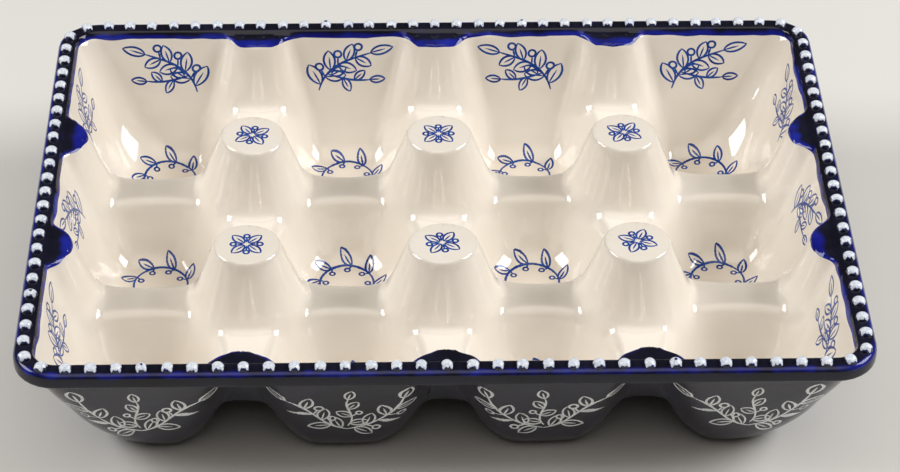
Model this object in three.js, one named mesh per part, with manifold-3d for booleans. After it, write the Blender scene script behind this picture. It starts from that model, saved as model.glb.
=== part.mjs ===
// Egg tray in glazed stoneware: tapered cups between pedestals, under a beaded rim.
// Millimetres, +Z up. The origin is the middle of the footprint, on the surface that the feet stand on.

import * as THREE from "three";
import { mergeVertices } from "three/addons/utils/BufferGeometryUtils.js";
import Module from "manifold-3d";

const wasm = await Module();
wasm.setup();

// Driving dimensions: the grid of cups
const COLUMNS = 4;
const ROWS = 3;
const CUP_PITCH_X = 65.5;
const CUP_PITCH_Y = 64.2;

// Driving dimensions: the clay shell
const WALL = 4.2;
const FOOT_RADIUS = 8;
const FOOT_HEIGHT = 0.8;
const FOOT_DRAFT = 0.4;
const CUP_DEPTH = 43.6; // pedestal tops down to the cup floors
const CUP_FLOOR_RADIUS = 16.6; // where a straight wall would meet the floor
const CUP_SQUARENESS = 2.3; // exponent of the cup's superellipse plan, 2 being round
const RIM_SQUARENESS = 3; // the same for the parts of a cup that lie along the rim
const CUP_SET_BACK = 1.5; // how far those parts stand back, behind the tub's wall
const CUP_LEAN = THREE.MathUtils.degToRad(19.5);
const SADDLE_DEPTH = 22.4; // pedestal tops down to the saddles between cups
const PEDESTAL_TOP_RADIUS = 11.4;
const PEDESTAL_LEAN = THREE.MathUtils.degToRad(20.5);
const LOBE_TOP_RADIUS = 12.6;
const LOBE_REACH = 7.2; // how far a lobe of the rim comes in from the wall

// Driving dimensions: fillets of the shell's inside
const FLOOR_FILLET = 24;
const SADDLE_FILLET = 12;
const WALL_FILLET = 6;
const PEDESTAL_FOOT_FILLET = 9;
const TOP_FILLET = 2.4;
const LEAST_FILLET = 0.8;

// Driving dimensions: the rim and its lip
const RIM_CORNER_RADIUS = 7.2; // along the rim's inner edge
const RIM_WIDTH = 6.6;
const RIM_RISE = 1.5; // bead seat above the pedestal tops
const RIM_SHOULDER = 1.8;
const LIP_DROP = 3.4; // pedestal tops down to the lip's lower edge
const LIP_EDGE = 0.8;
const LIP_ROOT = 4.2; // from the rim's inner edge out to where the lip leaves the wall

// Driving dimensions: glaze and beads
const GLAZE = 0.45;
const BEAD_LINE = 3.8; // out from the rim's inner edge
const BEAD_SEAT = 4.6;
const BEAD_PITCH = 8.08;
const BEAD_LENGTH = 4.2; // along the rim
const BEAD_WIDTH = 4.4; // across the rim
const BEAD_HEIGHT = 2;
const BEAD_BAND_WIDTH = 1.4; // the thread of enamel that joins the beads
const BEAD_BAND_HEIGHT = 0.5;
const BEAD_SEAT_GAP = 0.05;

// Levels
const FLOOR_Z = FOOT_HEIGHT + WALL;
const LAND_Z = FLOOR_Z + CUP_DEPTH;
const SADDLE_Z = LAND_Z - SADDLE_DEPTH;
const SEAT_Z = LAND_Z + RIM_RISE;
const LIP_Z = LAND_Z - LIP_DROP;

// Slopes of the leaning walls
const CUP_SLOPE = 1 / Math.tan(CUP_LEAN);
const PEDESTAL_SLOPE = 1 / Math.tan(PEDESTAL_LEAN);

// A lobe's axis stands this far outside the rim's inner edge
const LOBE_SET_BACK = LOBE_TOP_RADIUS - LOBE_REACH;

// Half sizes of the grid of cup centres, and of the tub that holds the cups at the pedestal tops
const CUP_END_X = ((COLUMNS - 1) * CUP_PITCH_X) / 2;
const CUP_END_Y = ((ROWS - 1) * CUP_PITCH_Y) / 2;
const TUB_TOP_X = (COLUMNS * CUP_PITCH_X) / 2;
const TUB_TOP_Y = (ROWS * CUP_PITCH_Y) / 2;

// The height field of the shell

// Vertical range over which two surfaces are blended, so that a flat and a slope meet in a fillet.
function blendRange(radius, slope) {
  const kept = Math.max(radius, LEAST_FILLET);
  return (kept * slope * slope) / (2 * Math.pow(1 + (slope * slope) / 4, 1.5));
}

function smoothMin(a, b, range) {
  const share = Math.max(range - Math.abs(a - b), 0) / range;
  return Math.min(a, b) - (share * share * range) / 4;
}

function smoothMax(a, b, range) {
  return -smoothMin(-a, -b, range);
}

// Distance from a value to the nearest of `count` evenly spaced places centred on zero.
function offsetFromNearest(value, pitch, count) {
  const end = ((count - 1) * pitch) / 2;
  const place = THREE.MathUtils.clamp(Math.round((value + end) / pitch), 0, count - 1);
  return value - (place * pitch - end);
}

function cupDistance(x, y) {
  const pastX = Math.abs(x) > CUP_END_X;
  const pastY = Math.abs(y) > CUP_END_Y;
  const power = pastX || pastY ? RIM_SQUARENESS : CUP_SQUARENESS;
  const u = Math.abs(offsetFromNearest(x, CUP_PITCH_X, COLUMNS)) - (pastX ? CUP_SET_BACK : 0);
  const v = Math.abs(offsetFromNearest(y, CUP_PITCH_Y, ROWS)) - (pastY ? CUP_SET_BACK : 0);
  return Math.pow(Math.pow(Math.max(u, 0), power) + Math.pow(Math.max(v, 0), power), 1 / power);
}

function pedestalDistance(x, y) {
  const u = offsetFromNearest(x, CUP_PITCH_X, COLUMNS - 1);
  const v = offsetFromNearest(y, CUP_PITCH_Y, ROWS - 1);
  return Math.hypot(u, v);
}

// Lobes stand on the rim's inner edge, between neighbouring cups, on all four sides.
function lobeDistance(x, y) {
  const alongX = offsetFromNearest(x, CUP_PITCH_X, COLUMNS - 1);
  const alongY = offsetFromNearest(y, CUP_PITCH_Y, ROWS - 1);
  const toLongSide = Math.hypot(alongX, Math.abs(y) - TUB_TOP_Y - LOBE_SET_BACK);
  const toShortSide = Math.hypot(alongY, Math.abs(x) - TUB_TOP_X - LOBE_SET_BACK);
  return Math.min(toLongSide, toShortSide);
}

// The tub's wall is a loft between two rounded rectangles, drawn `thickness` outside its inner face:
// the share of its height that it has at a place.
function tubShare(x, y, thickness) {
  const growX = TUB_TOP_X - CUP_END_X - CUP_FLOOR_RADIUS;
  const growY = TUB_TOP_Y - CUP_END_Y - CUP_FLOOR_RADIUS;
  const growR = RIM_CORNER_RADIUS - CUP_FLOOR_RADIUS;
  const floorRadius = CUP_FLOOR_RADIUS + thickness;
  const fromX = Math.abs(x) - CUP_END_X;
  const fromY = Math.abs(y) - CUP_END_Y;
  const straight = Math.max((fromX - floorRadius) / growX, (fromY - floorRadius) / growY);

  // In a corner the share solves |place - centre(share)| = radius(share).
  const centreX = growX - growR;
  const centreY = growY - growR;
  const a = centreX * centreX + centreY * centreY - growR * growR;
  const b = -2 * (fromX * centreX + fromY * centreY + floorRadius * growR);
  const c = fromX * fromX + fromY * fromY - floorRadius * floorRadius;
  const root = b * b - 4 * a * c;
  if (root < 0) return straight;
  const share = (-b - Math.sqrt(root)) / (2 * a);
  const inCorner = fromX > centreX * share && fromY > centreY * share;
  return inCorner ? share : straight;
}

// Height of the surface that lies `depth` below the shell's inside, measured square to it.
function shellHeight(x, y, depth) {
  const lowered = (slope) => depth * Math.hypot(1, slope);
  const cup = FLOOR_Z + (cupDistance(x, y) - CUP_FLOOR_RADIUS) * CUP_SLOPE - lowered(CUP_SLOPE);
  const wall = FLOOR_Z + CUP_DEPTH * tubShare(x, y, depth / Math.cos(CUP_LEAN));
  const pedestalRise = (PEDESTAL_TOP_RADIUS - pedestalDistance(x, y)) * PEDESTAL_SLOPE;
  const lobeRise = (LOBE_TOP_RADIUS - lobeDistance(x, y)) * PEDESTAL_SLOPE;
  const pedestal = LAND_Z + pedestalRise - lowered(PEDESTAL_SLOPE);
  const lobe = LAND_Z + lobeRise - lowered(PEDESTAL_SLOPE);

  const footBlend = blendRange(PEDESTAL_FOOT_FILLET + depth, PEDESTAL_SLOPE);
  const wallBlend = blendRange(WALL_FILLET + depth, CUP_SLOPE);
  let z = smoothMin(SADDLE_Z - depth, cup, blendRange(SADDLE_FILLET - depth, CUP_SLOPE));
  z = smoothMax(z, wall, wallBlend);
  z = smoothMax(z, pedestal, footBlend);
  z = smoothMax(z, lobe, footBlend);
  z = smoothMin(z, LAND_Z - depth, blendRange(TOP_FILLET - depth, CUP_SLOPE));
  return smoothMax(z, FLOOR_Z - depth, blendRange(FLOOR_FILLET + depth, CUP_SLOPE));
}

// The faceted skin of the clay body, with each face marked by the region that it belongs to

const INSIDE = "inside";
const RIM = "rim";
const OUTSIDE = "outside";
const FOOT = "foot";

class Skin {
  constructor() {
    this.points = [];
    this.faces = [];
    this.known = new Map();
  }

  point(x, y, z) {
    const key = [x, y, z].map((value) => Math.round(value * 1e4)).join();
    if (!this.known.has(key)) {
      this.known.set(key, this.points.length);
      this.points.push(new THREE.Vector3(x, y, z));
    }
    return this.known.get(key);
  }

  triangle(a, b, c, region) {
    if (a !== b && b !== c && c !== a) this.faces.push({ corners: [a, b, c], region });
  }

  quad(a, b, c, d, region) {
    this.triangle(a, b, c, region);
    this.triangle(a, c, d, region);
  }

  normals() {
    const sums = this.points.map(() => new THREE.Vector3());
    for (const { corners } of this.faces) {
      const [a, b, c] = corners.map((corner) => this.points[corner]);
      const area = b.clone().sub(a).cross(c.clone().sub(a));
      corners.forEach((corner) => sums[corner].add(area));
    }
    return sums.map((sum) => sum.normalize());
  }
}

function geometryOf(points, triangles) {
  const geometry = new THREE.BufferGeometry().setFromPoints(points);
  return geometry.setIndex(triangles.flat());
}

// A coat of even thickness over one region of the skin, as a closed solid lying on it.
function coatGeometry(skin, region, thickness) {
  const normals = skin.normals();
  const points = [];
  const layers = new Map();
  const layersOf = (corner) => {
    if (!layers.has(corner)) {
      const under = skin.points[corner];
      const over = under.clone().addScaledVector(normals[corner], thickness);
      layers.set(corner, { under: points.push(under) - 1, over: points.push(over) - 1 });
    }
    return layers.get(corner);
  };

  const triangles = [];
  const edges = new Map();
  for (const { corners } of skin.faces.filter((face) => face.region === region)) {
    const [a, b, c] = corners.map(layersOf);
    triangles.push([a.over, b.over, c.over], [a.under, c.under, b.under]);
    corners.forEach((corner, i) => {
      const next = corners[(i + 1) % corners.length];
      edges.set(`${corner},${next}`, [corner, next]);
    });
  }
  for (const [from, to] of edges.values()) {
    if (edges.has(`${to},${from}`)) continue;
    // Coats that meet along an edge split its wall along the same diagonal.
    const [a, b] = [layersOf(from), layersOf(to)];
    if (from < to) triangles.push([a.under, b.under, b.over], [a.under, b.over, a.over]);
    else triangles.push([a.under, b.under, a.over], [b.under, b.over, a.over]);
  }
  return geometryOf(points, triangles);
}

// Plan outline of each cup's cell

const PEDESTAL_SPREAD = SADDLE_DEPTH / PEDESTAL_SLOPE;
const CORNER_STEPS = 3;

// How far from a cell's corner its side reaches the top edge and the foot of what stands there.
const PEDESTAL_STOPS = [PEDESTAL_TOP_RADIUS, PEDESTAL_TOP_RADIUS + PEDESTAL_SPREAD];
const LOBE_STOPS_INWARD = [LOBE_REACH, LOBE_REACH + PEDESTAL_SPREAD];
const LOBE_STOPS_ALONG = [LOBE_TOP_RADIUS, LOBE_TOP_RADIUS + PEDESTAL_SPREAD].map((radius) =>
  Math.sqrt(radius * radius - LOBE_SET_BACK * LOBE_SET_BACK),
);

// A wall's thickness below the top, the hollow of a pedestal or a lobe is this much smaller in radius.
const HOLLOW_SET_IN = (WALL * (Math.hypot(1, PEDESTAL_SLOPE) - 1)) / PEDESTAL_SLOPE;

// Corner kinds of a cell, by whether the corner lies on the tray's long or short outer side.
function cornerKind(onLongSide, onShortSide) {
  if (onLongSide && onShortSide) return "tray corner";
  return onLongSide || onShortSide ? "lobe" : "pedestal";
}

function stopsAt(kind, length, outerSide, setIn) {
  if (kind === "pedestal") return PEDESTAL_STOPS.map((stop) => stop - setIn);
  if (kind === "lobe" && outerSide) return LOBE_STOPS_ALONG;
  if (kind === "lobe") return LOBE_STOPS_INWARD.map((stop) => stop - setIn);
  return [RIM_CORNER_RADIUS, (RIM_CORNER_RADIUS + length / 2) / 2];
}

// Points round one cell, anticlockwise. Each knows its outward direction if it lies on the rim's edge,
// and whether the rim's glaze reaches it. What stands at the corners is drawn `setIn` smaller.
function cellOutline(column, row, setIn) {
  const centre = new THREE.Vector2(
    column * CUP_PITCH_X - CUP_END_X,
    row * CUP_PITCH_Y - CUP_END_Y,
  );
  const outer = {
    front: row === 0,
    right: column === COLUMNS - 1,
    back: row === ROWS - 1,
    left: column === 0,
  };
  const sides = [
    { name: "front", along: [1, 0], out: [0, -1], half: CUP_PITCH_X / 2, reach: CUP_PITCH_Y / 2 },
    { name: "right", along: [0, 1], out: [1, 0], half: CUP_PITCH_Y / 2, reach: CUP_PITCH_X / 2 },
    { name: "back", along: [-1, 0], out: [0, 1], half: CUP_PITCH_X / 2, reach: CUP_PITCH_Y / 2 },
    { name: "left", along: [0, -1], out: [-1, 0], half: CUP_PITCH_Y / 2, reach: CUP_PITCH_X / 2 },
  ];
  const outline = [];
  sides.forEach((side, i) => {
    const before = sides[(i + sides.length - 1) % sides.length];
    const after = sides[(i + 1) % sides.length];
    const isOuter = outer[side.name];
    const along = new THREE.Vector2(...side.along);
    const out = new THREE.Vector2(...side.out);
    const ends = [before, after].map((neighbour) => {
      const sideways = side.along[0] !== 0;
      const mine = outer[side.name];
      const theirs = outer[neighbour.name];
      return cornerKind(sideways ? mine : theirs, sideways ? theirs : mine);
    });
    const length = 2 * side.half;
    const place = (distance) =>
      centre
        .clone()
        .addScaledVector(out, side.reach)
        .addScaledVector(along, distance - side.half);
    const [startTop, startFoot] = stopsAt(ends[0], length, isOuter, setIn);
    const [endTop, endFoot] = stopsAt(ends[1], length, isOuter, setIn);
    const startsRound = ends[0] === "tray corner";
    const distances = [startTop, startFoot, side.half, length - endFoot, length - endTop];
    if (!startsRound) distances.unshift(0);
    for (const distance of distances) {
      const onFirstLobe = ends[0] === "lobe" && distance <= startTop;
      const onLastLobe = ends[1] === "lobe" && distance >= length - endTop;
      const glazed = isOuter || onFirstLobe || onLastLobe;
      const startsAtRim = distance === 0 && outer[before.name];
      const outward = isOuter ? out : startsAtRim ? new THREE.Vector2(...before.out) : null;
      outline.push({ place: place(distance), outward, glazed });
    }
    if (ends[1] === "tray corner") {
      const turn = new THREE.Vector2(...after.out);
      const hub = place(length - RIM_CORNER_RADIUS).addScaledVector(out, -RIM_CORNER_RADIUS);
      for (let step = 1; step < CORNER_STEPS; step++) {
        const angle = (step / CORNER_STEPS) * (Math.PI / 2);
        const outward = out
          .clone()
          .multiplyScalar(Math.cos(angle))
          .addScaledVector(turn, Math.sin(angle));
        const spot = hub.clone().addScaledVector(outward, RIM_CORNER_RADIUS);
        outline.push({ place: spot, outward, glazed: true });
      }
    }
  });
  return { centre, outline };
}

// Share of a spoke at which the surface has climbed to a level.
function shareAtLevel(centre, end, depth, level) {
  let near = 0;
  let far = 1;
  for (let step = 0; step < 40; step++) {
    const middle = (near + far) / 2;
    const spot = centre.clone().lerp(end, middle);
    if (shellHeight(spot.x, spot.y, depth) < level) near = middle;
    else far = middle;
  }
  return far;
}

// Building the skin

// Rings of a spoke lie at these shares of the climb to the saddles, then of what is left to its end.
const INSIDE_RINGS = { toSaddle: [0.02, 0.2, 0.85], toEnd: [0.15, 0.9, 0.98] };
const OUTSIDE_RINGS = { toSaddle: [0.12, 0.85], toEnd: [0.25, 0.92] };

// The lip's section outside the rim's inner edge, as distance out and height.
const LIP_SECTION = [
  [BEAD_LINE - BEAD_SEAT / 2, SEAT_Z],
  [BEAD_LINE + BEAD_SEAT / 2, SEAT_Z],
  [RIM_WIDTH, SEAT_Z - RIM_SHOULDER],
  [RIM_WIDTH, LIP_Z + LIP_EDGE],
  [RIM_WIDTH - LIP_EDGE, LIP_Z],
];

// Rings of one spoke from the centre to the outline, as point numbers of the skin.
function spokeRings(skin, centre, end, depth, { toSaddle, toEnd }) {
  const heightAt = (spot) => shellHeight(spot.x, spot.y, depth);
  const floor = heightAt(centre);
  const levels = toSaddle.map((share) => THREE.MathUtils.lerp(floor, SADDLE_Z - depth, share));
  const brink = levels[levels.length - 1];
  levels.push(...toEnd.map((share) => THREE.MathUtils.lerp(brink, heightAt(end), share)));
  const shares = [...levels.map((level) => shareAtLevel(centre, end, depth, level)), 1];
  return shares.map((share) => {
    const spot = centre.clone().lerp(end, share);
    return skin.point(spot.x, spot.y, heightAt(spot));
  });
}

function outsideSpoke(skin, centre, end) {
  const direction = end.clone().sub(centre).normalize();
  const footRing = [
    [FOOT_RADIUS, 0],
    [FOOT_RADIUS + FOOT_DRAFT, FOOT_HEIGHT],
  ].map(([radius, z]) => {
    const spot = centre.clone().addScaledVector(direction, radius);
    return skin.point(spot.x, spot.y, z);
  });
  return [...footRing, ...spokeRings(skin, centre, end, WALL, OUTSIDE_RINGS)];
}

// Splits a quad along the diagonal whose middle lies nearer to the height field.
function addFieldQuad(skin, corners, depth, region) {
  const [a, b, c, d] = corners;
  const miss = (from, to) => {
    const middle = skin.points[from].clone().lerp(skin.points[to], 0.5);
    return Math.abs(middle.z - shellHeight(middle.x, middle.y, depth));
  };
  if (miss(a, c) <= miss(b, d)) skin.quad(a, b, c, d, region);
  else skin.quad(b, c, d, a, region);
}

function addInside(skin, centre, outline) {
  const middle = skin.point(centre.x, centre.y, FLOOR_Z);
  const spokes = outline.map(({ place }) => spokeRings(skin, centre, place, 0, INSIDE_RINGS));
  spokes.forEach((spoke, i) => {
    const next = (i + 1) % spokes.length;
    const following = spokes[next];
    skin.triangle(middle, spoke[0], following[0], INSIDE);
    for (let ring = 1; ring < spoke.length; ring++) {
      const last = ring === spoke.length - 1;
      const region = last && outline[i].glazed && outline[next].glazed ? RIM : INSIDE;
      const corners = [spoke[ring - 1], spoke[ring], following[ring], following[ring - 1]];
      addFieldQuad(skin, corners, 0, region);
    }
  });
}

function addOutside(skin, centre, outline) {
  const middle = skin.point(centre.x, centre.y, 0);
  const spokes = outline.map(({ place, outward }) => {
    const end = outward ? place.clone().addScaledVector(outward, LIP_ROOT) : place;
    return outsideSpoke(skin, centre, end);
  });
  spokes.forEach((spoke, i) => {
    const following = spokes[(i + 1) % spokes.length];
    skin.triangle(middle, following[0], spoke[0], FOOT);
    for (let ring = 1; ring < spoke.length; ring++) {
      const region = ring === 1 ? FOOT : OUTSIDE;
      const corners = [spoke[ring - 1], following[ring - 1], following[ring], spoke[ring]];
      addFieldQuad(skin, corners, WALL, region);
    }
  });
}

// The lip runs from each pair of neighbouring points of the rim's inner edge out over the bead seat.
function addLip(skin, outline) {
  const sections = outline.map(({ place, outward }) => {
    if (!outward) return null;
    const start = skin.point(place.x, place.y, shellHeight(place.x, place.y, 0));
    const rest = LIP_SECTION.map(([out, z]) => {
      const spot = place.clone().addScaledVector(outward, out);
      return skin.point(spot.x, spot.y, z);
    });
    const root = place.clone().addScaledVector(outward, LIP_ROOT);
    return [start, ...rest, skin.point(root.x, root.y, shellHeight(root.x, root.y, WALL))];
  });
  sections.forEach((section, i) => {
    const following = sections[(i + 1) % sections.length];
    if (!section || !following) return;
    for (let step = 1; step < section.length; step++) {
      skin.quad(section[step - 1], section[step], following[step], following[step - 1], RIM);
    }
  });
}

function buildSkin() {
  const skin = new Skin();
  for (let row = 0; row < ROWS; row++) {
    for (let column = 0; column < COLUMNS; column++) {
      const above = cellOutline(column, row, 0);
      const below = cellOutline(column, row, HOLLOW_SET_IN);
      addInside(skin, above.centre, above.outline);
      addOutside(skin, below.centre, below.outline);
      addLip(skin, above.outline);
    }
  }
  return skin;
}

// Beads along the rim

const BEAD_PATH_X = TUB_TOP_X + BEAD_LINE;
const BEAD_PATH_Y = TUB_TOP_Y + BEAD_LINE;
const BEAD_PATH_RADIUS = RIM_CORNER_RADIUS + BEAD_LINE;
const HALF_CORNER = (BEAD_PATH_RADIUS * Math.PI) / 4;

// Place and heading along one side's run of the bead path, from the middle of one corner to the next.
function beadPathAt(distance, straight) {
  if (distance < HALF_CORNER || distance > HALF_CORNER + straight) {
    const atStart = distance < HALF_CORNER;
    const past = atStart ? distance - HALF_CORNER : distance - HALF_CORNER - straight;
    const heading = past / BEAD_PATH_RADIUS;
    const along = (atStart ? -1 : 1) * (straight / 2) + BEAD_PATH_RADIUS * Math.sin(heading);
    return { along, inward: BEAD_PATH_RADIUS * (1 - Math.cos(heading)), heading };
  }
  return { along: distance - HALF_CORNER - straight / 2, inward: 0, heading: 0 };
}

const BAND_CORNER_STEPS = 4;
const BEAD_SIDES = 6;
const BEAD_SHOULDER_OUT = 0.74; // share of the bead's half width
const BEAD_SHOULDER_UP = 0.68; // share of the bead's height

function solidOf(geometry) {
  const bare = geometry.clone();
  bare.deleteAttribute("normal");
  bare.deleteAttribute("uv");
  const merged = mergeVertices(bare, 1e-4);
  return new wasm.Manifold(
    new wasm.Mesh({
      numProp: 3,
      vertProperties: merged.attributes.position.array,
      triVerts: new Uint32Array(merged.index.array),
    }),
  );
}

function geometryOfSolid(solid) {
  const { numVert, vertProperties, triVerts } = solid.getMesh();
  const positions = vertProperties.slice(0, numVert * 3);
  return new THREE.BufferGeometry()
    .setAttribute("position", new THREE.BufferAttribute(positions, 3))
    .setIndex(new THREE.BufferAttribute(triVerts, 1));
}

// The low band that joins one side's beads, in the plane of the bead seat.
function bandGeometry(straight) {
  const run = straight + 2 * HALF_CORNER;
  const stops = [];
  for (let step = 0; step <= BAND_CORNER_STEPS; step++) {
    stops.push((step / BAND_CORNER_STEPS) * HALF_CORNER);
  }
  stops.push(...stops.map((stop) => run - stop).reverse());
  const edge = (offset) =>
    stops.map((stop) => {
      const { along, inward, heading } = beadPathAt(stop, straight);
      return new THREE.Vector2(
        along + offset * Math.sin(heading),
        inward - offset * Math.cos(heading),
      );
    });
  const half = BEAD_BAND_WIDTH / 2;
  const shape = new THREE.Shape([...edge(half), ...edge(-half).reverse()]);
  return new THREE.ExtrudeGeometry(shape, { depth: BEAD_BAND_HEIGHT, bevelEnabled: false });
}

function beadGeometry() {
  const profile = [
    new THREE.Vector2(0, 0),
    new THREE.Vector2(1, 0),
    new THREE.Vector2(BEAD_SHOULDER_OUT, BEAD_SHOULDER_UP * BEAD_HEIGHT),
    new THREE.Vector2(0, BEAD_HEIGHT),
  ];
  return new THREE.LatheGeometry(profile, BEAD_SIDES)
    .rotateX(Math.PI / 2)
    .scale(BEAD_LENGTH / 2, BEAD_WIDTH / 2, 1);
}

// One side's beads and band as a single solid, laid along X with the tray's middle towards +Y.
function beadCourse(straight) {
  const run = straight + 2 * HALF_CORNER;
  const count = Math.round(run / BEAD_PITCH);
  let course = solidOf(bandGeometry(straight));
  for (let bead = 0; bead < count; bead++) {
    const { along, inward, heading } = beadPathAt(((bead + 0.5) * run) / count, straight);
    const dome = beadGeometry().rotateZ(heading).translate(along, inward, 0);
    course = course.add(solidOf(dome));
  }
  return geometryOfSolid(course);
}

// Materials

const MATERIALS = {
  stoneware: new THREE.MeshStandardMaterial({ color: 0xe9dfd0, roughness: 0.12, metalness: 0 }),
  navyGlaze: new THREE.MeshStandardMaterial({ color: 0x14141c, roughness: 0.15, metalness: 0 }),
  cobaltGlaze: new THREE.MeshStandardMaterial({ color: 0x12123a, roughness: 0.08, metalness: 0 }),
  whiteEnamel: new THREE.MeshStandardMaterial({ color: 0xe6e9ee, roughness: 0.2, metalness: 0 }),
};

// Assembly

function pieceOf(name, geometry, material) {
  const mesh = new THREE.Mesh(geometry, material);
  mesh.name = name;
  return mesh;
}

const tray = new THREE.Group();
const skin = buildSkin();
const bodyTriangles = skin.faces.map((face) => face.corners);

tray.add(pieceOf("stoneware_body", geometryOf(skin.points, bodyTriangles), MATERIALS.stoneware));
tray.add(pieceOf("rim_glaze", coatGeometry(skin, RIM, GLAZE), MATERIALS.cobaltGlaze));
tray.add(pieceOf("exterior_glaze", coatGeometry(skin, OUTSIDE, GLAZE), MATERIALS.navyGlaze));

const COURSES = [
  { side: "front", turn: 0, reach: BEAD_PATH_Y, half: BEAD_PATH_X },
  { side: "right", turn: Math.PI / 2, reach: BEAD_PATH_X, half: BEAD_PATH_Y },
  { side: "back", turn: Math.PI, reach: BEAD_PATH_Y, half: BEAD_PATH_X },
  { side: "left", turn: -Math.PI / 2, reach: BEAD_PATH_X, half: BEAD_PATH_Y },
];
for (const { side, turn, reach, half } of COURSES) {
  const straight = 2 * (half - BEAD_PATH_RADIUS);
  const course = pieceOf(`bead_course_${side}`, beadCourse(straight), MATERIALS.whiteEnamel);
  const holder = new THREE.Group();
  holder.rotation.z = turn;
  course.position.set(0, -reach, SEAT_Z + GLAZE + BEAD_SEAT_GAP);
  holder.add(course);
  tray.add(holder);
}

export default tray;
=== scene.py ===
# Egg tray in glazed stoneware: fine surfaces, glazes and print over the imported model.
# Shapes are worked out in millimetres, as the model was, and become metres as meshes are made.

import math

import bpy
import numpy as np
from mathutils import Matrix, Vector


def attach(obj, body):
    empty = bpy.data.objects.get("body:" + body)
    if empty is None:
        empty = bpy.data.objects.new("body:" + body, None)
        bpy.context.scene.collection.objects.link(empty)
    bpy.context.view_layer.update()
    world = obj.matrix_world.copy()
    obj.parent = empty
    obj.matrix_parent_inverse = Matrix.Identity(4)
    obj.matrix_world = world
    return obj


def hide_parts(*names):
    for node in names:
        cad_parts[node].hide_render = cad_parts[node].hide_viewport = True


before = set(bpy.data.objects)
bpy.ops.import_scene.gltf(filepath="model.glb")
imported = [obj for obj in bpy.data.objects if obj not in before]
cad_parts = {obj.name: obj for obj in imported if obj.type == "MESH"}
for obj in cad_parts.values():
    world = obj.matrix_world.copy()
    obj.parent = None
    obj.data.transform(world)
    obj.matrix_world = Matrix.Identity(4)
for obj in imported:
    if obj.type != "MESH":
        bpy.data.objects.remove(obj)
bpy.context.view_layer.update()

MM = 0.001
TINY = 1e-12
SEED = 7

# Driving dimensions: the grid of cups
COLUMNS = 4
ROWS = 3
CUP_PITCH_X = 65.5
CUP_PITCH_Y = 64.2

# Driving dimensions: the clay shell
WALL = 4.2
FOOT_RADIUS = 8.0
FOOT_HEIGHT = 0.8
FOOT_DRAFT = 0.4
CUP_DEPTH = 43.6
CUP_FLOOR_RADIUS = 16.6
CUP_SQUARENESS = 2.3
RIM_SQUARENESS = 3.0
CUP_SET_BACK = 1.5
CUP_LEAN = math.radians(19.5)
SADDLE_DEPTH = 22.4
PEDESTAL_TOP_RADIUS = 11.4
PEDESTAL_LEAN = math.radians(20.5)
LOBE_TOP_RADIUS = 12.6
LOBE_REACH = 7.2

# Driving dimensions: fillets of the shell's inside
FLOOR_FILLET = 24.0
SADDLE_FILLET = 12.0
WALL_FILLET = 6.0
PEDESTAL_FOOT_FILLET = 9.0
TOP_FILLET = 2.4
LEAST_FILLET = 0.8

# Driving dimensions: the rim and its lip
RIM_CORNER_RADIUS = 7.2
RIM_WIDTH = 6.6
RIM_RISE = 1.5
RIM_SHOULDER = 1.7
LIP_DROP = 3.4
LIP_EDGE = 0.8
LIP_ROOT = 4.2

# Driving dimensions: glaze and beads
GLAZE = 0.45
GLAZE_TAPER = 1.3
GLAZE_EDGE = 0.07
BEAD_LINE = 3.8
BEAD_SEAT = 4.6
BEAD_PITCH = 8.08
BEAD_LENGTH = 4.3
BEAD_WIDTH = 4.6
BEAD_HEIGHT = 2.05
BEAD_ROOT = 0.3

# Levels and slopes
FLOOR_Z = FOOT_HEIGHT + WALL
LAND_Z = FLOOR_Z + CUP_DEPTH
SADDLE_Z = LAND_Z - SADDLE_DEPTH
SEAT_Z = LAND_Z + RIM_RISE
LIP_Z = LAND_Z - LIP_DROP
CUP_SLOPE = 1 / math.tan(CUP_LEAN)
PEDESTAL_SLOPE = 1 / math.tan(PEDESTAL_LEAN)
LOBE_SET_BACK = LOBE_TOP_RADIUS - LOBE_REACH

# Half sizes of the grid of cup centres, and of the tub that holds the cups at the pedestal tops
COUNTS = np.array([COLUMNS, ROWS])
PITCH = np.array([CUP_PITCH_X, CUP_PITCH_Y])
CUP_END = (COUNTS - 1) * PITCH / 2
TUB_TOP = COUNTS * PITCH / 2


# Places and directions


def cup_centre(column, row):
    return np.array([column, row]) * PITCH - CUP_END


def unit(vectors):
    return vectors / np.maximum(np.linalg.norm(vectors, axis=-1, keepdims=True), TINY)


def heading_of(angle):
    return np.stack([np.cos(angle), np.sin(angle)], axis=-1)


def rotation(angle):
    return np.array([[math.cos(angle), -math.sin(angle)], [math.sin(angle), math.cos(angle)]])


# The height field of the shell


def blend_range(radius, slope):
    """Vertical range over which a flat and a slope are blended into a fillet."""
    kept = max(radius, LEAST_FILLET)
    return kept * slope**2 / (2 * (1 + slope**2 / 4) ** 1.5)


def smooth_min(a, b, reach):
    share = np.maximum(reach - np.abs(a - b), 0) / reach
    return np.minimum(a, b) - share * share * reach / 4


def smooth_max(a, b, reach):
    return -smooth_min(-a, -b, reach)


def offset_from_nearest(value, pitch, count):
    end = (count - 1) * pitch / 2
    place = np.clip(np.round((value + end) / pitch), 0, count - 1)
    return value - (place * pitch - end)


def cup_distance(x, y):
    past_x = np.abs(x) > CUP_END[0]
    past_y = np.abs(y) > CUP_END[1]
    power = np.where(past_x | past_y, RIM_SQUARENESS, CUP_SQUARENESS)
    u = np.abs(offset_from_nearest(x, CUP_PITCH_X, COLUMNS)) - CUP_SET_BACK * past_x
    v = np.abs(offset_from_nearest(y, CUP_PITCH_Y, ROWS)) - CUP_SET_BACK * past_y
    return (np.maximum(u, 0) ** power + np.maximum(v, 0) ** power) ** (1 / power)


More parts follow.
